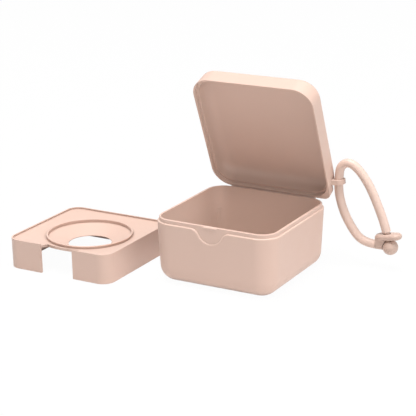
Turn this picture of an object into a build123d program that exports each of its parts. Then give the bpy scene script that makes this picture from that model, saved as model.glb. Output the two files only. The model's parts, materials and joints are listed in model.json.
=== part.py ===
"""Pacifier sterilizer case: a square box with a hinged lid, a loose insert and a carry strap.

Frame: origin at the centre of the base's bottom face, +Z up, front towards -Y, hinge at the back.
The lid stands open, the insert stands on the surface to the left of the box.
"""
from build123d import *
import math
import os

os.makedirs("parts", exist_ok=True)

# ---- base shell ----
case_width = 84.0
case_depth = 84.0
case_corner = 13.0
shoulder_height = 39.3
base_draft = 1.9
base_edge_round = 10.5
floor_thickness = 1.6
lip_inset = 1.2
lip_thickness = 1.5
lip_height = 2.4
edge_break = 0.35
shoulder_round = 0.75
cavity_corner = 9.3
cavity_draft = 0.7
cavity_edge_round = 8.4

# ---- locating ribs in the four inner corners ----
rib_width = 2.4
rib_proud = 0.5
rib_top = 26.9

# ---- finger recess and snap bead at the front ----
recess_drop = 8.4
recess_radius = 9.0
recess_flare = 5.7
bead_length = 9.0
bead_radius = 0.8
bead_end_round = 0.5
bead_proud = 0.6
bead_below_lip_top = 0.9

# ---- lid ----
lid_height = 13.7
lid_draft = 0.4
lid_edge_round = 3.8
lid_panel = 1.8
rim_round = 0.25
lid_inner_round = 6.0
seam_gap = 0.1
lip_side_clearance = 0.15
lip_top_clearance = 0.3
snap_clearance = 0.2
open_angle = 67.1

# ---- hinge ----
hinge_behind_wall = 1.8
hinge_above_shoulder = 0.9
hinge_length = 60.0
knuckle_count = 5
knuckle_gap = 0.3
knuckle_radius = 2.0
knuckle_clearance = 0.25
knuckle_lobe = 0.65
web_length = 5.5
pin_diameter = 1.8
pin_end_inset = 0.5
pin_running_clearance = 0.05

# ---- strap eye and corner pad on the lid's right wall ----
eye_from_wall = 3.35
eye_from_hinge_edge = 9.3
eye_above_rim = 8.5
eye_lean = 6.0
eye_clearance = 0.25
eye_bar = 1.2
eye_height = 3.4
eye_round = 0.5
eye_root_depth = 1.0
pad_corner = 5.0
pad_height = 8.0
pad_chamfer = 2.2

# ---- carry strap ----
strap_diameter = 5.7
bend_share_of_run = 0.45
tab_length = 17.4
tab_width = 8.8
tab_thickness = 3.8
tab_round = 1.7
tab_lean = 8.0
tab_above_strap = 6.5
heel_length = 6.6
heel_inset = 0.3
heel_to_ball = 0.2
ball_diameter = 10.0
neck_diameter = 4.0
neck_length = 10.2
neck_clearance = 0.15

# ---- insert ----
insert_width = 76.7
insert_depth = 76.7
insert_corner = 8.2
insert_height = 19.3
insert_draft = 0.255
insert_wall = 1.5
rim_thickness = 1.0
plate_below_rim = 1.0
plate_fall = 2.38
plate_thickness = 1.7
collar_radius = 28.15
collar_thickness = 1.1
collar_below_rim = 1.63
collar_round = 0.35
dish_edge_below_rim = 3.8
dish_bottom_below_rim = 8.54
hole_radius = 14.0
hole_edge = 0.4
notch_width = 24.0
notch_arc_clearance = 3.9
insert_left_of_case = 19.4
insert_front_of_case = 22.9

# ---- levels and places worked out from the sizes above ----
lip_top = shoulder_height + lip_height
rim_level = shoulder_height + seam_gap
hinge_y = case_depth / 2 + hinge_behind_wall
hinge_z = shoulder_height + hinge_above_shoulder
hinge_axis = Axis((0, hinge_y, hinge_z), (-1, 0, 0))
strap_radius = strap_diameter / 2
pin_radius = pin_diameter / 2
knuckle_pitch = hinge_length / knuckle_count
knuckle_length = knuckle_pitch - knuckle_gap
insert_x = -(case_width / 2 + insert_left_of_case + insert_width / 2)
insert_y = -insert_front_of_case


def block_up(width, depth, corner, low, height, inset=0.0):
    """A rounded block that narrows by inset per side from its bottom to its top."""
    outline = Plane.XY.offset(low) * RectangleRounded(width, depth, corner)
    return extrude(outline, amount=height, taper=math.degrees(math.atan2(inset, height)))


def block_down(width, depth, corner, high, height, inset=0.0):
    """A rounded block that narrows by inset per side from its top to its bottom."""
    top = Plane(origin=(0, 0, high), x_dir=(1, 0, 0), z_dir=(0, 0, -1))
    outline = top * RectangleRounded(width, depth, corner)
    return extrude(outline, amount=height, taper=math.degrees(math.atan2(inset, height)))


def flat_edges(solid, level):
    """The edges of a solid that lie flat at one height."""
    tolerance = 0.01
    return [e for e in solid.edges() if abs(e.bounding_box().min.Z - level) < tolerance
            and abs(e.bounding_box().max.Z - level) < tolerance]


def bar_along_x(radius, low_x, high_x, y, z):
    """A round bar along X."""
    circle = Plane(origin=(low_x, y, z), x_dir=(0, 1, 0), z_dir=(1, 0, 0)) * Circle(radius)
    return extrude(circle, amount=high_x - low_x)


def knuckle_spans(first):
    """The X spans of every second knuckle, from the given one on."""
    spans = []
    for index in range(first, knuckle_count, 2):
        low = -hinge_length / 2 + index * knuckle_pitch + knuckle_gap / 2
        spans.append((low, low + knuckle_length))
    return spans


def knuckle(low_x, high_x, upward, bore_radius):
    """One hinge knuckle with the web that ties it to the wall; upward for the lid's."""
    turn = 1 if upward else -1
    wall_y = case_depth / 2 - lip_inset / 2
    outline = Polyline(
        (wall_y, hinge_z + turn * (hinge_above_shoulder + knuckle_clearance)),
        (hinge_y, hinge_z),
        (hinge_y + knuckle_radius, hinge_z),
        (hinge_y + knuckle_radius, hinge_z + turn * knuckle_lobe),
        (wall_y, hinge_z + turn * (web_length + hinge_above_shoulder)),
        close=True,
    )
    side = Plane(origin=(low_x, 0, 0), x_dir=(0, 1, 0), z_dir=(1, 0, 0))
    web = extrude(side * make_face(outline), amount=high_x - low_x)
    barrel = bar_along_x(knuckle_radius, low_x, high_x, hinge_y, hinge_z)
    bore = bar_along_x(bore_radius, low_x, high_x, hinge_y, hinge_z)
    return web + barrel - bore


def knuckle_relief(low_x, high_x):
    """The space that a wall leaves round a knuckle of the other piece."""
    radius = knuckle_radius + knuckle_clearance
    return bar_along_x(radius, low_x - knuckle_gap, high_x + knuckle_gap, hinge_y, hinge_z)


def base_cavity():
    """The hollow of the base, drafted, with its round bottom edge."""
    inner_width = case_width - 2 * (lip_inset + lip_thickness)
    inner_depth = case_depth - 2 * (lip_inset + lip_thickness)
    depth = lip_top - floor_thickness
    hollow = block_down(inner_width, inner_depth, cavity_corner, lip_top, depth, cavity_draft)
    return fillet(flat_edges(hollow, floor_thickness), cavity_edge_round)


def corner_ribs():
    """Four upright ribs that centre the insert by its corners and run out at the floor."""
    inner = case_width / 2 - lip_inset - lip_thickness
    draft_at_top = cavity_draft * (lip_top - rib_top) / (lip_top - floor_thickness)
    corner_centre = (inner - cavity_corner) * math.sqrt(2)
    face_at = corner_centre + cavity_corner - draft_at_top - rib_proud
    thickness = rib_proud + lip_thickness / 2
    rib = Box(thickness, rib_width, rib_top - floor_thickness,
              align=(Align.MIN, Align.CENTER, Align.MIN))
    rib = fillet(rib.edges().filter_by(Axis.Z).group_by(Axis.X)[0], edge_break)
    ribs = Part()
    for turn in (45, 135, 225, 315):
        ribs += Rot(0, 0, turn) * Pos(face_at, 0, floor_thickness) * rib
    return ribs


def finger_recess():
    """The scoop in the front wall, level with the lip's face."""
    centre_z = shoulder_height - recess_drop + recess_radius
    flare_z = shoulder_height - recess_flare
    reach = recess_radius + recess_flare
    flare_x = math.sqrt(reach ** 2 - (centre_z - flare_z) ** 2)
    touch_z = centre_z + (flare_z - centre_z) * recess_radius / reach
    top_z = lip_top
    mouth = Pos(0, (touch_z + top_z) / 2) * Rectangle(2 * flare_x, top_z - touch_z)
    for side in (-1, 1):
        mouth -= Pos(side * flare_x, flare_z) * Circle(recess_flare)
    scoop = mouth + Pos(0, centre_z) * Circle(recess_radius)
    front = Plane(origin=(0, -case_depth / 2 + lip_inset, 0), x_dir=(1, 0, 0), z_dir=(0, -1, 0))
    return extrude(front * scoop, amount=2 * lip_inset)


def snap_bead():
    """The bead on the lip's front face that holds the lid shut."""
    face_y = -case_depth / 2 + lip_inset
    bar = bar_along_x(bead_radius, -bead_length / 2, bead_length / 2,
                      face_y + bead_radius - bead_proud, lip_top - bead_below_lip_top)
    return fillet(bar.edges(), bead_end_round)


def base_outer():
    """The outer form of the base up to its shoulder."""
    form = block_down(case_width, case_depth, case_corner,
                      shoulder_height, shoulder_height, base_draft)
    return fillet(flat_edges(form, 0), base_edge_round)


def shoulder_rim(form):
    """The outer edge of the shoulder, all the way round and down into the recess."""
    tolerance = 0.1
    lowest = shoulder_height - recess_drop - tolerance
    lip_face = -case_depth / 2 + lip_inset
    return [e for e in form.edges() if e.bounding_box().min.Z > lowest
            and e.length > 2 * lip_inset and abs((e @ 0.5).Y - lip_face) > tolerance]


def make_base():
    """The deep shell with its lip, recess, ribs and hinge knuckles."""
    shell = base_outer() - finger_recess()
    shell = fillet(shoulder_rim(shell), shoulder_round)
    lip = block_up(case_width - 2 * lip_inset, case_depth - 2 * lip_inset,
                   case_corner - lip_inset, shoulder_height - lip_height, 2 * lip_height)
    lip = fillet(flat_edges(lip, lip_top), edge_break)
    for low, high in knuckle_spans(0):
        shell += knuckle(low, high, False, pin_radius)
    for low, high in knuckle_spans(1):
        shell -= knuckle_relief(low, high)
    body = shell + lip + snap_bead() - base_cavity()
    return body + (corner_ribs() & base_outer())


def lid_outer():
    """The lid's outer form, closed on the base."""
    form = block_up(case_width, case_depth, case_corner, rim_level, lid_height, lid_draft)
    return fillet(flat_edges(form, rim_level + lid_height), lid_edge_round)


def corner_pad():
    """The squarer corner at the right of the hinge edge that backs the strap eye."""
    slope = lid_draft * pad_height / lid_height
    form = block_up(case_width, case_depth, pad_corner, rim_level, pad_height, slope)
    form = chamfer(flat_edges(form, rim_level + pad_height), pad_chamfer)
    quarter = Pos(case_width / 2, case_depth / 2, rim_level) * Box(
        2 * case_corner, 2 * case_corner, 2 * pad_height)
    return form & quarter


def lid_hollow():
    """The rabbet that drops over the lip and the hollow above it."""
    skirt = lip_inset - lip_side_clearance
    rabbet_height = lip_top + lip_top_clearance - rim_level
    rabbet = block_up(case_width - 2 * skirt, case_depth - 2 * skirt, case_corner - skirt,
                      rim_level, rabbet_height)
    inset = skirt + lip_thickness
    depth = lid_height - lid_panel
    hollow = block_up(case_width - 2 * inset, case_depth - 2 * inset, case_corner - inset,
                      rim_level, depth, lid_draft)
    hollow = fillet(flat_edges(hollow, rim_level + depth), lid_inner_round)
    return rabbet + hollow


def snap_pocket():
    """The relief in the skirt that the bead clicks into, open at the rim."""
    width = bead_length + 2 * snap_clearance
    height = lip_top + lip_top_clearance - rim_level
    reach = bead_proud + snap_clearance
    face_y = -case_depth / 2 + lip_inset
    return Pos(0, face_y, rim_level) * Box(width, 2 * reach, height,
                                           align=(Align.CENTER, Align.CENTER, Align.MIN))


def eye_plane():
    """The plane across the strap eye on the closed lid; when open it leans up to the right."""
    angle = math.radians(open_angle)
    lean = math.radians(eye_lean)
    centre = (case_width / 2 + eye_from_wall,
              case_depth / 2 - eye_from_hinge_edge,
              rim_level + eye_above_rim)
    upright = Vector(0, -math.sin(angle), math.cos(angle))
    outward = Vector(1, 0, 0)
    return Plane(origin=centre,
                 x_dir=outward * math.cos(lean) + upright * math.sin(lean),
                 z_dir=upright * math.cos(lean) - outward * math.sin(lean))


def strap_eye():
    """The loop that carries the strap, rooted in the lid's right wall."""
    hole = strap_radius + eye_clearance
    outer = hole + eye_bar
    root_length = eye_from_wall + eye_root_depth
    root = Pos(-root_length / 2, 0) * Rectangle(root_length, 2 * outer)
    flat = extrude(Circle(outer) + root - Circle(hole), amount=eye_height / 2, both=True)
    ends = flat.faces().filter_by(Axis.Z)
    rims = [e for face in ends for e in face.edges() if e.center().X > eye_root_depth - root_length]
    return eye_plane() * fillet(rims, eye_round)


def lid_shell():
    """The lid's hollow form with its rim eased."""
    shell = lid_outer() + corner_pad() - lid_hollow()
    return fillet(flat_edges(shell, rim_level), rim_round)


def make_closed_lid():
    """The lid as it lies on the base."""
    body = lid_shell() + strap_eye() - snap_pocket()
    for low, high in knuckle_spans(0):
        body -= knuckle_relief(low, high)
    for low, high in knuckle_spans(1):
        body += knuckle(low, high, True, pin_radius + pin_running_clearance)
    return body


def make_pin():
    """The rod through all the knuckles, held by the base's."""
    half = hinge_length / 2 - pin_end_inset
    return bar_along_x(pin_radius, -half, half, hinge_y, hinge_z)


def make_insert():
    """The loose insert: a square stand with a dished seat, a ring collar and a notch."""
    top = insert_height
    plate = top - plate_below_rim
    foot = plate - plate_fall
    outer = block_down(insert_width, insert_depth, insert_corner, top, top, insert_draft)
    inner = (insert_width - 2 * rim_thickness, insert_depth - 2 * rim_thickness,
             insert_corner - rim_thickness)
    above = block_up(*inner, plate, 2 * plate_below_rim) + plate_dish(*inner, plate, foot)
    hollow = (insert_width - 2 * insert_wall, insert_depth - 2 * insert_wall,
              insert_corner - insert_wall)
    under = plate - plate_thickness
    below = block_down(*hollow, under, under + insert_wall, insert_draft)
    below -= plate_dish(*hollow, under, foot - plate_thickness)
    body = outer - above - below
    body -= Pos(0, 0, foot) * Cylinder(collar_radius - collar_thickness / 2, 2 * insert_height)
    body += revolve(Plane.XZ * seat_section(top, foot), Axis.Z)
    return Pos(insert_x, insert_y, 0) * (body - notch())


def plate_dish(width, depth, corner, high, low):
    """The shallow well from the square outline down to the ring collar."""
    square = Plane.XY.offset(high) * RectangleRounded(width, depth, corner)
    ring = Plane.XY.offset(low) * Circle(collar_radius)
    return loft([square, ring], ruled=True)


def seat_section(top, foot):
    """The half section of the ring collar and the cone down to the hole."""
    inner = collar_radius - collar_thickness
    crest = top - collar_below_rim
    edge = top - dish_edge_below_rim
    bottom = top - dish_bottom_below_rim
    under = foot - plate_thickness
    outline = Polyline((collar_radius, under), (collar_radius, crest), (inner, crest),
                       (inner, edge), (hole_radius, bottom),
                       (hole_radius, bottom - hole_edge), (inner, under), close=True)
    section = make_face(outline)
    return fillet(section.vertices().group_by(Axis.Y)[-1], collar_round)


def notch():
    """The opening in the front wall, back to an arc round the collar."""
    arc_radius = collar_radius + notch_arc_clearance
    slot = Box(notch_width, insert_depth, 2 * insert_height)
    slot = Pos(0, -insert_depth / 2, insert_height) * slot
    return slot - Cylinder(arc_radius, 4 * insert_height)


def eye_centre():
    """Where the middle of the strap eye stands with the lid open."""
    return Vertex(*eye_plane().origin).rotate(hinge_axis, open_angle).center()


def strap_route():
    """The strap's route from the tab, up through the eye and down to the ball's neck."""
    offsets = [
        (26.45, -38.2), (21.65, -38.2), (14.65, -35.8), (8.55, -28.2), (3.95, -20.0),
        (1.1, -11.8), (-0.1, -4.5), (0.15, 4.5), (0.9, 9.4), (4.25, 12.7), (8.65, 12.9),
        (14.55, 8.6), (21.3, -0.4), (27.2, -12.6), (31.5, -23.0), (33.25, -28.85),
    ]
    eye = eye_centre()
    return [Vector(eye.X + out, eye.Y, eye.Z + up) for out, up in offsets]


def bend_radii(route):
    """The largest arc for each corner that both of its runs leave room for."""
    radii = []
    for before, here, after in zip(route, route[1:], route[2:]):
        turn = math.radians((here - before).get_angle(after - here))
        shorter = min((here - before).length, (after - here).length)
        radii.append(bend_share_of_run * shorter / math.tan(turn / 2))
    return radii


def make_strap():
    """The round strap along its route."""
    route = strap_route()
    radii = bend_radii(route)
    path = FilletPolyline(*route, radius=radii)
    section = Plane(origin=path @ 0, z_dir=path % 0) * Circle(strap_radius)
    tube = sweep(section, path=path)
    print("strap radii", [round(radius, 1) for radius in radii])
    print("strap length", round(path.length, 1), "volume", round(tube.volume),
          "section times length", round(math.pi * strap_radius ** 2 * path.length))
    return tube


def neck_bar(radius, length):
    """A bar along the ball's neck, from the strap's end towards the ball."""
    route = strap_route()
    top = Plane(origin=route[-1], z_dir=route[-1] - route[-2])
    return extrude(top * Circle(radius), amount=length)


def ball_centre():
    """Where the middle of the ball is, at the end of its neck."""
    route = strap_route()
    return route[-1] + (route[-1] - route[-2]).normalized() * neck_length


def make_strap_tab():
    """The flat tab that the ball buttons through, with the heel that joins it to the strap."""
    start = strap_route()[0]
    centre = (start.X - heel_inset + tab_length / 2, start.Y, start.Z + tab_above_strap)
    disc = extrude(SlotOverall(tab_length, tab_width), amount=tab_thickness / 2, both=True)
    disc = fillet([e for face in disc.faces().filter_by(Axis.Z) for e in face.edges()], tab_round)
    disc = Pos(*centre) * Rot(0, -tab_lean, 0) * disc
    heel = bar_along_x(strap_radius, start.X, start.X + heel_length, start.Y, start.Z)
    heel += Pos(start.X + heel_length / 2, start.Y, start.Z) * Box(
        heel_length, strap_diameter, tab_above_strap,
        align=(Align.CENTER, Align.CENTER, Align.MIN))
    heel -= Pos(*ball_centre()) * Sphere(ball_diameter / 2 + heel_to_ball)
    return disc + heel - neck_bar(neck_diameter / 2 + neck_clearance, neck_length)


def make_strap_ball():
    """The ball and the neck that comes up through the tab to the strap's end."""
    return Pos(*ball_centre()) * Sphere(ball_diameter / 2) + neck_bar(
        neck_diameter / 2, neck_length)


pieces = {
    "case_base": make_base(),
    "hinge_pin": make_pin(),
    "lid": make_closed_lid().rotate(hinge_axis, open_angle),
    "insert": make_insert(),
    "strap": make_strap(),
    "strap_tab": make_strap_tab(),
    "strap_ball": make_strap_ball(),
}
for name, piece in pieces.items():
    piece.label = name
    export_step(piece, f"parts/{name}.step")
    print(name, round(piece.volume, 1))
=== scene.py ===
"""Looks of the pacifier sterilizer case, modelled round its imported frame.

Each operator makes or finishes one piece or one group of like pieces, and one sets the stage.
All sizes are in metres and in the frame's own axes: +Z up, the front towards -Y.
"""
import json
import math

import bpy
from mathutils import Matrix, Vector


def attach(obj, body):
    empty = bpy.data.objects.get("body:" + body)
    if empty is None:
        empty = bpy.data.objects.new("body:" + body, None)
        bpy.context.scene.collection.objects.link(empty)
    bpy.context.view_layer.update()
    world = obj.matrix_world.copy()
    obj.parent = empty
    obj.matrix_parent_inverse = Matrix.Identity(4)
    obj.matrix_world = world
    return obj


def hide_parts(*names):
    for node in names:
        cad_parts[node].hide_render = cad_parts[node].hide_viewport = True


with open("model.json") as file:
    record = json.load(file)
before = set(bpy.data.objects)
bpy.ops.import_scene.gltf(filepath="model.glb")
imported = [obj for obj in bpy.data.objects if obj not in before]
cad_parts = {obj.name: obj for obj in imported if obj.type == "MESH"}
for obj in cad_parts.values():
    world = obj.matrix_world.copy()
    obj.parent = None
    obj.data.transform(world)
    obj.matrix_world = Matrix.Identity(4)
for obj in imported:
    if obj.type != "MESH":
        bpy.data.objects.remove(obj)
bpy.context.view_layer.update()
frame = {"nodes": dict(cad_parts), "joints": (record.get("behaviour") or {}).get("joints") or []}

bl_info = {
    "name": "Pacifier Sterilizer Case",
    "version": (1, 0, 0),
    "blender": (4, 5, 0),
    "location": "View3D > Sidebar > Sterilizer Case",
    "description": "Models and finishes a pacifier sterilizer case round its frame",
    "category": "Add Mesh",
}

MM = 0.001
WHITE = (1.0, 1.0, 1.0, 1.0)

# Points this close are the same point of a mesh.
MERGE_DISTANCE = 0.001 * MM
POLE_MERGE_DISTANCE = 0.005 * MM

# The strap's route at rest, from the tab up through the eye and down to the ball's neck: X and Z
# offsets in mm from the middle of the eye, which is the point that the strap swings about.
STRAP_ROUTE = [
    (26.45, -38.2), (21.65, -38.2), (14.65, -35.8), (8.55, -28.2), (3.95, -20.0),
    (1.1, -11.8), (-0.1, -4.5), (0.15, 4.5), (0.9, 9.4), (4.25, 12.7), (8.65, 12.9),
    (14.55, 8.6), (21.3, -0.4), (27.2, -12.6), (31.5, -23.0), (33.25, -28.85),
]

# How the moulded surfaces are patterned: the detail of each noise, the part of its range that
# the gloss follows, and how strongly the grain shows.
PATCH_DETAIL = 3.0
STREAK_DETAIL = 4.0
GRAIN_DETAIL = 2.0
STREAK_RANGE = (0.3, 0.7)
GRAIN_STRENGTH = 0.5
PLASTIC_SHEEN_ROUGHNESS = 0.5
SILICONE_SHEEN_ROUGHNESS = 0.4

# How the silicone pieces are eased and how finely they are drawn.
EASING_SHARE = 0.5
EASING_ROUNDS = 6
NECK_STRAIGHT_SHARE = 0.4
NECK_ARC_STEPS = 4
BALL_ARC_STEPS = 18
BALL_SPIN_STEPS = 56
BALL_SHARP_ANGLE = math.radians(50)
STRAP_ROUTE_STEPS = 12
STRAP_ROUND_STEPS = 10

# Each softbox: its name, where it stands and how wide it is.
SOFTBOXES = (
    ("top", (0.0, -0.2, 1.9), 1.1),
    ("front", (0.1, -1.6, 0.7), 1.0),
    ("right", (1.5, 0.1, 0.55), 0.8),
    ("corner", (0.9, -0.4, 0.4), 0.5),
)
SOFTBOX_AIM = (0.0, 0.0, 0.05)

FLOOR_GREY = (0.78, 0.78, 0.78, 1.0)
FLOOR_ROUGHNESS = 0.9
# Keeps the floor clear of the flat undersides that stand on it.
FLOOR_DROP = 0.05 * MM


# ---- sizes and colours that a user may change ----

class PlasticSettings(bpy.types.PropertyGroup):
    """Colour and surface of the moulded shells, and the light and shade painted into their
    hollows.
    """

    colour: bpy.props.FloatVectorProperty(
        name="Colour", description="Colour of the base, lid and insert", subtype="COLOR",
        size=3, min=0.0, max=1.0, default=(0.65, 0.454, 0.373))
    cloud_colour: bpy.props.FloatVectorProperty(
        name="Cloud colour", description="Colour of the faint clouds in the moulding",
        subtype="COLOR", size=3, min=0.0, max=1.0, default=(0.68, 0.478, 0.395))
    cloud_size: bpy.props.FloatProperty(
        name="Cloud size", description="Size of the faint clouds in the moulding",
        subtype="DISTANCE", unit="LENGTH", min=1 * MM, default=28 * MM)
    grain_size: bpy.props.FloatProperty(
        name="Grain size", description="Size of the fine grain that the mould leaves",
        subtype="DISTANCE", unit="LENGTH", min=0.05 * MM, default=0.35 * MM)
    grain_depth: bpy.props.FloatProperty(
        name="Grain depth", description="Depth of the fine grain",
        subtype="DISTANCE", unit="LENGTH", min=0.0, default=0.012 * MM)
    smoothest: bpy.props.FloatProperty(
        name="Smoothest", description="Roughness where the surface is most polished",
        subtype="FACTOR", min=0.0, max=1.0, default=0.42)
    roughest: bpy.props.FloatProperty(
        name="Roughest", description="Roughness where the surface is most matt",
        subtype="FACTOR", min=0.0, max=1.0, default=0.54)
    sheen: bpy.props.FloatProperty(
        name="Sheen", description="Pale bloom where the surface is seen along its grain",
        subtype="FACTOR", min=0.0, max=1.0, default=0.12)
    # Painted light: the next two settings tint the case's inside greyer where its walls face one
    # another, standing in for the light inside the case.
    painted_light_reach: bpy.props.FloatProperty(
        name="Inside reach", description="How far apart the walls of the case's inside may be",
        subtype="DISTANCE", unit="LENGTH", min=0.0, default=80 * MM)
    painted_inside_light: bpy.props.FloatVectorProperty(
        name="Inside colour", description="Colour deep inside the case, where it is duller",
        subtype="COLOR", size=3, min=0.0, max=1.0, default=(0.645, 0.528, 0.462))
    # Painted shade: the next two settings darken the insert's tight corners, at the foot of its
    # rim and its ring.
    corner_shade_reach: bpy.props.FloatProperty(
        name="Corner reach", description="How far the insert's tight corners deepen in colour",
        subtype="DISTANCE", unit="LENGTH", min=0.0, default=1.8 * MM)
    corner_shade_colour: bpy.props.FloatVectorProperty(
        name="Corner colour", description="Colour in the insert's tight corners",
        subtype="COLOR", size=3, min=0.0, max=1.0, default=(0.22, 0.146, 0.114))


class SiliconeSettings(bpy.types.PropertyGroup):
    """Colour and surface of the strap, its tab and its ball."""

    colour: bpy.props.FloatVectorProperty(
        name="Colour", description="Colour of the silicone", subtype="COLOR",
        size=3, min=0.0, max=1.0, default=(0.665, 0.484, 0.405))
    bloom_colour: bpy.props.FloatVectorProperty(
        name="Bloom colour", description="Colour of the dusty bloom on the silicone",
        subtype="COLOR", size=3, min=0.0, max=1.0, default=(0.695, 0.522, 0.443))
    # The share of the silicone's colour that the tab and the ball keep, so that they are darker
    # than the strap.
    tab_and_ball_share: bpy.props.FloatVectorProperty(
        name="Thick share", description="How much of the colour is left where it is thick",
        subtype="COLOR", size=3, min=0.0, max=1.0, default=(0.80, 0.775, 0.76))
    bloom_size: bpy.props.FloatProperty(
        name="Bloom size", description="Size of the patches of bloom",
        subtype="DISTANCE", unit="LENGTH", min=0.5 * MM, default=6 * MM)
    satin_size: bpy.props.FloatProperty(
        name="Satin size", description="Size of the satin texture",
        subtype="DISTANCE", unit="LENGTH", min=0.05 * MM, default=0.25 * MM)
    satin_depth: bpy.props.FloatProperty(
        name="Satin depth", description="Depth of the satin texture",
        subtype="DISTANCE", unit="LENGTH", min=0.0, default=0.008 * MM)
    smoothest: bpy.props.FloatProperty(
        name="Smoothest", description="Roughness where the silicone is most rubbed",
        subtype="FACTOR", min=0.0, max=1.0, default=0.38)
    roughest: bpy.props.FloatProperty(
        name="Roughest", description="Roughness where the silicone is most matt",
        subtype="FACTOR", min=0.0, max=1.0, default=0.52)
    sheen: bpy.props.FloatProperty(
        name="Sheen", description="Pale bloom round the strap's edges",
        subtype="FACTOR", min=0.0, max=1.0, default=0.2)


class StrapSettings(bpy.types.PropertyGroup):
    """Sizes of the carry strap, its ball and its tab."""

    diameter: bpy.props.FloatProperty(
        name="Diameter", description="Thickness of the round strap",
        subtype="DISTANCE", unit="LENGTH", default=5.7 * MM)
    length: bpy.props.FloatProperty(
        name="Length", description="Real length of the strap between the tab and the neck",
        subtype="DISTANCE", unit="LENGTH", default=119 * MM)
    ball_diameter: bpy.props.FloatProperty(
        name="Ball diameter", description="Diameter of the ball that buttons through the tab",
        subtype="DISTANCE", unit="LENGTH", default=10 * MM)
    neck_diameter: bpy.props.FloatProperty(
        name="Neck diameter", description="Diameter of the neck in the tab's hole",
        subtype="DISTANCE", unit="LENGTH", default=4 * MM)
    neck_length: bpy.props.FloatProperty(
        name="Neck length", description="From the strap's end to the middle of the ball",
        subtype="DISTANCE", unit="LENGTH", default=10.2 * MM)
    neck_fillet: bpy.props.FloatProperty(
        name="Neck fillet", description="Radius of the hollow where the neck meets the ball",
        subtype="DISTANCE", unit="LENGTH", default=0.35 * MM)
    tab_softening: bpy.props.FloatProperty(
        name="Tab softening", description="Size of the cells that the tab's form is eased with",
        subtype="DISTANCE", unit="LENGTH", default=0.28 * MM)


class ViewSettings(bpy.types.PropertyGroup):
    """Where the camera stands."""

    azimuth: bpy.props.FloatProperty(
        name="Azimuth", description="Turn about the upright axis", subtype="ANGLE",
        unit="ROTATION", default=math.radians(29.349))
    elevation: bpy.props.FloatProperty(
        name="Elevation", description="Height above the horizon", subtype="ANGLE",
        unit="ROTATION", default=math.radians(17.761))
    roll: bpy.props.FloatProperty(
        name="Roll", description="Tilt of the picture", subtype="ANGLE",
        unit="ROTATION", default=math.radians(-0.70))
    place: bpy.props.FloatVectorProperty(
        name="Place", description="Where the camera is", subtype="TRANSLATION",
        unit="LENGTH", size=3, default=(0.390717, -0.737772, 0.309817))
    lens: bpy.props.FloatProperty(
        name="Lens", description="Focal length in mm on a 36 mm sensor",
        min=1.0, default=121.24)


class StageSettings(bpy.types.PropertyGroup):
    """Strength of the lamps and the floor."""

    top_power: bpy.props.FloatProperty(
        name="Top", description="Power of the softbox overhead, in watts", min=0.0, default=50.5)
    front_power: bpy.props.FloatProperty(
        name="Front", description="Power of the softbox in front, in watts",
        min=0.0, default=3.7)
    right_power: bpy.props.FloatProperty(
        name="Right", description="Power of the softbox at the right, in watts",
        min=0.0, default=6.9)
    corner_power: bpy.props.FloatProperty(
        name="Right front", description="Power of the softbox at the right front, in watts",
        min=0.0, default=2.0)
    ambient: bpy.props.FloatProperty(
        name="Ambient", description="Strength of the light from all round", min=0.0,
        default=0.05)
    floor_size: bpy.props.FloatProperty(
        name="Floor size", description="Width of the pale floor", subtype="DISTANCE",
        unit="LENGTH", default=6.0)
    floor_white: bpy.props.FloatProperty(
        name="Floor white", description="How much of the floor shows as plain white",
        subtype="FACTOR", min=0.0, max=1.0, default=0.97)


# ---- help for all the operators ----

def deselect_all():
    """Leaves nothing selected, so that an operator acts on its own piece alone."""
    bpy.ops.object.select_all(action="DESELECT")


def pick(piece):
    """Makes one piece the only one selected, and the active one."""
    deselect_all()
    piece.select_set(True)
    bpy.context.view_layer.objects.active = piece


def joint_place(name):
    """The point that a joint turns about, in the frame."""
    for joint in frame["joints"]:
        if joint["name"] == name:
            return Vector(joint["pos_m"])
    raise KeyError(name)


def strap_points():
    """The control points of the strap's line."""
    eye = joint_place("strap_swing")
    return [Vector((eye.x + out * MM, eye.y, eye.z + up * MM)) for out, up in STRAP_ROUTE]


def paint(piece, material):
    """Gives a piece one material."""
    piece.data.materials.clear()
    piece.data.materials.append(material)


def ride_as_strap(piece, node):
    """Lets a silicone piece stand for its node and swing with the strap."""
    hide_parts(node)
    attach(piece, "strap")


# ---- materials ----

def noise(tree, place, size, detail):
    """A noise whose cells are about the given size on the object."""
    cloud = tree.nodes.new("ShaderNodeTexNoise")
    cloud.inputs["Scale"].default_value = 1.0 / size
    cloud.inputs["Detail"].default_value = detail
    tree.links.new(place.outputs["Object"], cloud.inputs["Vector"])
    return cloud


def shader_of(material):
    """The node that gives a material its surface."""
    return material.node_tree.nodes["Principled BSDF"]


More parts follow.
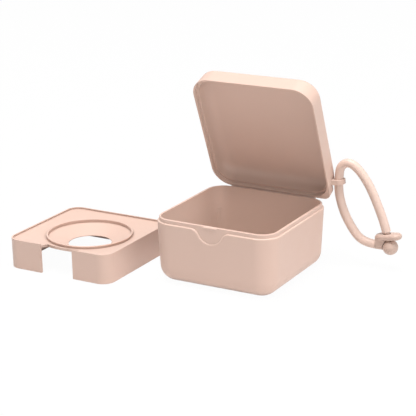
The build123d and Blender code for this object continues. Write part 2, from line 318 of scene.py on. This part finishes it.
def moulded(name, colour, patch_colour, patch_size, grain_size, grain_depth, smooth, rough):
    """A moulded surface with faint patches of colour, uneven gloss and a fine grain."""
    material = bpy.data.materials.new(name)
    material.use_nodes = True
    tree = material.node_tree
    shader = shader_of(material)
    place = tree.nodes.new("ShaderNodeTexCoord")

    patches = noise(tree, place, patch_size, PATCH_DETAIL)
    tint = tree.nodes.new("ShaderNodeMix")
    tint.data_type = "RGBA"
    tint.inputs["A"].default_value = (*colour, 1.0)
    tint.inputs["B"].default_value = (*patch_colour, 1.0)
    tree.links.new(patches.outputs["Fac"], tint.inputs["Factor"])
    tree.links.new(tint.outputs["Result"], shader.inputs["Base Color"])

    gloss = tree.nodes.new("ShaderNodeMapRange")
    gloss.inputs["From Min"].default_value = STREAK_RANGE[0]
    gloss.inputs["From Max"].default_value = STREAK_RANGE[1]
    gloss.inputs["To Min"].default_value = smooth
    gloss.inputs["To Max"].default_value = rough
    streaks = noise(tree, place, patch_size / 4, STREAK_DETAIL)
    tree.links.new(streaks.outputs["Fac"], gloss.inputs["Value"])
    tree.links.new(gloss.outputs["Result"], shader.inputs["Roughness"])

    grain = noise(tree, place, grain_size, GRAIN_DETAIL)
    relief = tree.nodes.new("ShaderNodeBump")
    relief.inputs["Strength"].default_value = GRAIN_STRENGTH
    relief.inputs["Distance"].default_value = grain_depth
    tree.links.new(grain.outputs["Fac"], relief.inputs["Height"])
    tree.links.new(relief.outputs["Normal"], shader.inputs["Normal"])
    return material


def add_sheen(material, weight, roughness):
    """Adds a pale bloom where a surface is seen along its grain."""
    shader = shader_of(material)
    shader.inputs["Sheen Weight"].default_value = weight
    shader.inputs["Sheen Roughness"].default_value = roughness


def paint_hollow_shading(material, reach, painted_shading_colour):
    """Paints shading into the colour: blends in another colour where walls within reach face one
    another.
    """
    tree = material.node_tree
    colour = shader_of(material).inputs["Base Color"]
    open_colour = colour.links[0].from_socket
    # Painted light and shade: the occlusion of nearby walls sets how much of the other colour is
    # blended in.
    hollow = tree.nodes.new("ShaderNodeAmbientOcclusion")
    hollow.only_local = True
    hollow.inputs["Distance"].default_value = reach
    blend = tree.nodes.new("ShaderNodeMix")
    blend.data_type = "RGBA"
    blend.inputs["A"].default_value = (*painted_shading_colour, 1.0)
    tree.links.new(hollow.outputs["AO"], blend.inputs["Factor"])
    tree.links.new(open_colour, blend.inputs["B"])
    tree.links.new(blend.outputs["Result"], colour)


def shell_plastic(name):
    """Matt moulded plastic of the base, lid and insert."""
    plastic = bpy.context.scene.case_plastic
    material = moulded(
        name, plastic.colour, plastic.cloud_colour, plastic.cloud_size,
        plastic.grain_size, plastic.grain_depth, plastic.smoothest, plastic.roughest)
    add_sheen(material, plastic.sheen, PLASTIC_SHEEN_ROUGHNESS)
    return material


def case_shell():
    """The plastic of the base and the lid, with painted light inside: a greyer tone where its
    walls face one another.
    """
    plastic = bpy.context.scene.case_plastic
    material = shell_plastic("case_shell")
    # Painted light: a greyer tone blended in where the case's walls face one another.
    paint_hollow_shading(material, plastic.painted_light_reach, plastic.painted_inside_light)
    return material


def insert_shell():
    """The plastic of the insert, with painted shade along the foot of its rim and its ring."""
    plastic = bpy.context.scene.case_plastic
    material = shell_plastic("insert_shell")
    # Painted shade: a dark colour blended in along the insert's tight corners.
    paint_hollow_shading(material, plastic.corner_shade_reach, plastic.corner_shade_colour)
    return material


def polished_pin():
    """The smoother plastic of the hinge pin, with clouds and a grain to suit its size."""
    plastic = bpy.context.scene.case_plastic
    return moulded(
        "polished_pin", plastic.colour, plastic.cloud_colour, plastic.cloud_size / 8,
        plastic.grain_size / 2, plastic.grain_depth / 2, plastic.smoothest / 2,
        plastic.smoothest)


def satin_silicone(name, share):
    """Satin silicone with a pale bloom at its edges, in a share of its full colour."""
    silicone = bpy.context.scene.case_silicone
    colour = [whole * part for whole, part in zip(silicone.colour, share)]
    bloom = [whole * part for whole, part in zip(silicone.bloom_colour, share)]
    material = moulded(
        name, colour, bloom, silicone.bloom_size, silicone.satin_size,
        silicone.satin_depth, silicone.smoothest, silicone.roughest)
    add_sheen(material, silicone.sheen, SILICONE_SHEEN_ROUGHNESS)
    return material


def thin_silicone():
    """The silicone of the strap, in its full colour."""
    return satin_silicone("thin_silicone", (1.0, 1.0, 1.0))


def thick_silicone():
    """The silicone of the tab and the ball, in a darker share of its colour."""
    found = bpy.data.materials.get("thick_silicone")
    if found:
        return found
    return satin_silicone("thick_silicone", bpy.context.scene.case_silicone.tab_and_ball_share)


# ---- the camera ----

class CASE_OT_set_camera(bpy.types.Operator):
    """Set the camera at the front right, a little above the case"""

    bl_idname = "sterilizer_case.set_camera"
    bl_label = "Set Camera"

    def execute(self, context):
        view = context.scene.case_view
        deselect_all()
        bpy.ops.object.camera_add()
        camera = context.object
        camera.name = "case_camera"
        camera.data.sensor_width = 36.0
        camera.data.lens = view.lens
        turn = (Matrix.Rotation(view.azimuth, 4, "Z")
                @ Matrix.Rotation(math.pi / 2 - view.elevation, 4, "X")
                @ Matrix.Rotation(view.roll, 4, "Z"))
        camera.matrix_world = Matrix.Translation(Vector(view.place)) @ turn
        context.scene.camera = camera
        return {"FINISHED"}


# ---- the strap's tab, ball and round cord ----

class CASE_OT_make_tab(bpy.types.Operator):
    """Model the strap's flat tab as one soft moulding with its heel and its hole"""

    bl_idname = "sterilizer_case.make_tab"
    bl_label = "Make Tab"

    def execute(self, context):
        sizes = context.scene.case_strap
        pick(frame["nodes"]["strap_tab"])
        bpy.ops.object.duplicate()
        tab = context.object
        tab.name = "soft_tab"
        tab.data.name = "soft_tab"
        bpy.ops.object.mode_set(mode="EDIT")
        bpy.ops.mesh.select_all(action="SELECT")
        bpy.ops.mesh.remove_doubles(threshold=MERGE_DISTANCE)
        bpy.ops.mesh.normals_make_consistent(inside=False)
        bpy.ops.object.mode_set(mode="OBJECT")
        cells = tab.modifiers.new("even_cells", "REMESH")
        cells.mode = "VOXEL"
        cells.voxel_size = sizes.tab_softening
        bpy.ops.object.modifier_apply(modifier=cells.name)
        ease = tab.modifiers.new("eased_corners", "SMOOTH")
        ease.factor = EASING_SHARE
        ease.iterations = EASING_ROUNDS
        bpy.ops.object.modifier_apply(modifier=ease.name)
        bpy.ops.object.shade_smooth()
        paint(tab, thick_silicone())
        ride_as_strap(tab, "strap_tab")
        return {"FINISHED"}


def ball_outline(sizes):
    """Half outline of the neck and the ball: distance from the strap's end, and radius."""
    neck = sizes.neck_diameter / 2
    ball = sizes.ball_diameter / 2
    hollow = sizes.neck_fillet
    outline = [(0.0, neck), (NECK_STRAIGHT_SHARE * sizes.neck_length, neck)]
    hollow_from = math.acos((neck + hollow) / (ball + hollow))
    hollow_at = sizes.neck_length - (ball + hollow) * math.sin(hollow_from)
    for step in range(NECK_ARC_STEPS + 1):
        angle = hollow_from * step / NECK_ARC_STEPS
        outline.append((hollow_at + hollow * math.sin(angle),
                        neck + hollow - hollow * math.cos(angle)))
    first = math.pi / 2 - hollow_from
    for step in range(1, BALL_ARC_STEPS):
        angle = first + (math.pi - first) * step / BALL_ARC_STEPS
        outline.append((sizes.neck_length - ball * math.cos(angle), ball * math.sin(angle)))
    outline.append((sizes.neck_length + ball, 0.0))
    return outline


class CASE_OT_make_ball(bpy.types.Operator):
    """Model the ball and the neck that holds it in the tab"""

    bl_idname = "sterilizer_case.make_ball"
    bl_label = "Make Ball"

    def execute(self, context):
        sizes = context.scene.case_strap
        points = strap_points()
        start = points[-1]
        along = (points[-1] - points[-2]).normalized()
        across = Vector((0.0, 1.0, 0.0))
        outline = [start] + [start + along * far + across * radius
                             for far, radius in ball_outline(sizes)]
        mesh = bpy.data.meshes.new("ball_and_neck")
        edges = [(index, index + 1) for index in range(len(outline) - 1)]
        mesh.from_pydata([tuple(point) for point in outline], edges, [])
        ball = bpy.data.objects.new("ball_and_neck", mesh)
        context.collection.objects.link(ball)
        pick(ball)
        bpy.ops.object.mode_set(mode="EDIT")
        bpy.ops.mesh.select_all(action="SELECT")
        bpy.ops.mesh.spin(steps=BALL_SPIN_STEPS, angle=math.tau, center=start, axis=along)
        bpy.ops.mesh.select_all(action="SELECT")
        bpy.ops.mesh.remove_doubles(threshold=POLE_MERGE_DISTANCE)
        bpy.ops.mesh.normals_make_consistent(inside=False)
        bpy.ops.object.mode_set(mode="OBJECT")
        bpy.ops.object.shade_smooth_by_angle(angle=BALL_SHARP_ANGLE)
        paint(ball, thick_silicone())
        ride_as_strap(ball, "strap_ball")
        return {"FINISHED"}


class CASE_OT_make_strap(bpy.types.Operator):
    """Model the round silicone strap that hangs in the lid's eye"""

    bl_idname = "sterilizer_case.make_strap"
    bl_label = "Make Strap"

    def execute(self, context):
        sizes = context.scene.case_strap
        points = strap_points()
        curve = bpy.data.curves.new("round_strap", "CURVE")
        curve.dimensions = "3D"
        spline = curve.splines.new("NURBS")
        spline.points.add(len(points) - 1)
        for control, point in zip(spline.points, points):
            control.co = (*point, 1.0)
        spline.order_u = 3
        spline.use_endpoint_u = True
        spline.resolution_u = STRAP_ROUTE_STEPS
        curve.bevel_depth = sizes.diameter / 2
        curve.bevel_resolution = STRAP_ROUND_STEPS
        curve.use_fill_caps = True
        strap = bpy.data.objects.new("round_strap", curve)
        context.collection.objects.link(strap)
        paint(strap, thin_silicone())
        ride_as_strap(strap, "strap")
        return {"FINISHED"}


# ---- the shells ----

class CASE_OT_finish_shells(bpy.types.Operator):
    """Finish the base, the lid, the insert and the hinge pin"""

    bl_idname = "sterilizer_case.finish_shells"
    bl_label = "Finish Shells"

    def execute(self, context):
        nodes = frame["nodes"]
        case_plastic = case_shell()
        paint(nodes["case_base"], case_plastic)
        paint(nodes["lid"], case_plastic)
        paint(nodes["insert"], insert_shell())
        paint(nodes["hinge_pin"], polished_pin())
        return {"FINISHED"}


# ---- the stage ----

def softbox(name, place, size, power):
    """A square soft lamp that looks at the case."""
    deselect_all()
    bpy.ops.object.light_add(type="AREA", location=place)
    lamp = bpy.context.object
    lamp.name = name
    lamp.data.shape = "SQUARE"
    lamp.data.size = size
    lamp.data.energy = power
    lamp.visible_camera = False
    look = Vector(SOFTBOX_AIM) - Vector(place)
    lamp.rotation_euler = look.to_track_quat("-Z", "Y").to_euler()


def ray_share(tree):
    """One for the rays that should see plain white: straight, mirrored or through glass."""
    path = tree.nodes.new("ShaderNodeLightPath")
    total = path.outputs["Is Camera Ray"]
    for ray in ("Is Glossy Ray", "Is Transmission Ray"):
        join = tree.nodes.new("ShaderNodeMath")
        join.operation = "MAXIMUM"
        tree.links.new(total, join.inputs[0])
        tree.links.new(path.outputs[ray], join.inputs[1])
        total = join.outputs[0]
    return total


def pale_floor(size, white):
    """The floor, which shows white and keeps a little of the case's shadow."""
    deselect_all()
    bpy.ops.mesh.primitive_plane_add(size=size, location=(0.0, 0.0, -FLOOR_DROP))
    floor = bpy.context.object
    floor.name = "studio_floor"
    material = bpy.data.materials.new("studio_floor")
    material.use_nodes = True
    tree = material.node_tree
    shader = shader_of(material)
    shader.inputs["Base Color"].default_value = FLOOR_GREY
    shader.inputs["Roughness"].default_value = FLOOR_ROUGHNESS
    share = tree.nodes.new("ShaderNodeMath")
    share.operation = "MULTIPLY"
    share.inputs[1].default_value = white
    tree.links.new(ray_share(tree), share.inputs[0])
    glow = tree.nodes.new("ShaderNodeEmission")
    mix = tree.nodes.new("ShaderNodeMixShader")
    tree.links.new(share.outputs[0], mix.inputs["Fac"])
    tree.links.new(shader.outputs["BSDF"], mix.inputs[1])
    tree.links.new(glow.outputs["Emission"], mix.inputs[2])
    tree.links.new(mix.outputs["Shader"], tree.nodes["Material Output"].inputs["Surface"])
    paint(floor, material)


def pale_world(strength):
    """Even light from all round, with a white background."""
    world = bpy.data.worlds.new("studio_world")
    bpy.context.scene.world = world
    world.use_nodes = True
    tree = world.node_tree
    sky = tree.nodes["Background"]
    sky.inputs["Color"].default_value = WHITE
    sky.inputs["Strength"].default_value = strength
    white = tree.nodes.new("ShaderNodeBackground")
    white.inputs["Color"].default_value = WHITE
    both = tree.nodes.new("ShaderNodeMixShader")
    tree.links.new(ray_share(tree), both.inputs["Fac"])
    tree.links.new(sky.outputs["Background"], both.inputs[1])
    tree.links.new(white.outputs["Background"], both.inputs[2])
    tree.links.new(both.outputs["Shader"], tree.nodes["World Output"].inputs["Surface"])


class CASE_OT_set_stage(bpy.types.Operator):
    """Set the floor, the soft lamps and the world"""

    bl_idname = "sterilizer_case.set_stage"
    bl_label = "Set Stage"

    def execute(self, context):
        stage = context.scene.case_stage
        pale_floor(stage.floor_size, stage.floor_white)
        pale_world(stage.ambient)
        for name, place, size in SOFTBOXES:
            softbox(f"{name}_softbox", place, size, getattr(stage, f"{name}_power"))
        context.scene.view_settings.view_transform = "Standard"
        return {"FINISHED"}


# ---- the sidebar panel ----

class CASE_PT_panel(bpy.types.Panel):
    """Lists the sizes, the colours and the steps of the case"""

    bl_idname = "CASE_PT_panel"
    bl_label = "Sterilizer Case"
    bl_space_type = "VIEW_3D"
    bl_region_type = "UI"
    bl_category = "Sterilizer Case"

    def draw(self, context):
        for title, name, _ in SETTINGS:
            box = self.layout.box()
            box.label(text=title)
            settings = getattr(context.scene, name)
            for key in settings.bl_rna.properties.keys():
                if key not in ("rna_type", "name"):
                    box.prop(settings, key)
        for operator in OPERATORS:
            self.layout.operator(operator.bl_idname)


# Each group of settings: its title in the panel, its name on the scene and its class.
SETTINGS = (
    ("Plastic", "case_plastic", PlasticSettings),
    ("Silicone", "case_silicone", SiliconeSettings),
    ("Strap", "case_strap", StrapSettings),
    ("View", "case_view", ViewSettings),
    ("Stage", "case_stage", StageSettings),
)
OPERATORS = (CASE_OT_set_camera, CASE_OT_make_tab, CASE_OT_make_ball, CASE_OT_make_strap,
             CASE_OT_finish_shells, CASE_OT_set_stage)


def register():
    """Registers the settings, the operators and the panel."""
    for _, name, settings in SETTINGS:
        bpy.utils.register_class(settings)
        setattr(bpy.types.Scene, name, bpy.props.PointerProperty(type=settings))
    for item in (*OPERATORS, CASE_PT_panel):
        bpy.utils.register_class(item)


def unregister():
    """Removes the panel, the operators and the settings."""
    for item in (CASE_PT_panel, *reversed(OPERATORS)):
        bpy.utils.unregister_class(item)
    for _, name, settings in SETTINGS:
        delattr(bpy.types.Scene, name)
        bpy.utils.unregister_class(settings)


def main():
    """Makes the whole scene."""
    register()
    bpy.ops.sterilizer_case.set_camera()
    bpy.ops.sterilizer_case.make_tab()
    bpy.ops.sterilizer_case.make_ball()
    bpy.ops.sterilizer_case.make_strap()
    bpy.ops.sterilizer_case.finish_shells()
    bpy.ops.sterilizer_case.set_stage()


if __name__ == "__main__":
    main()
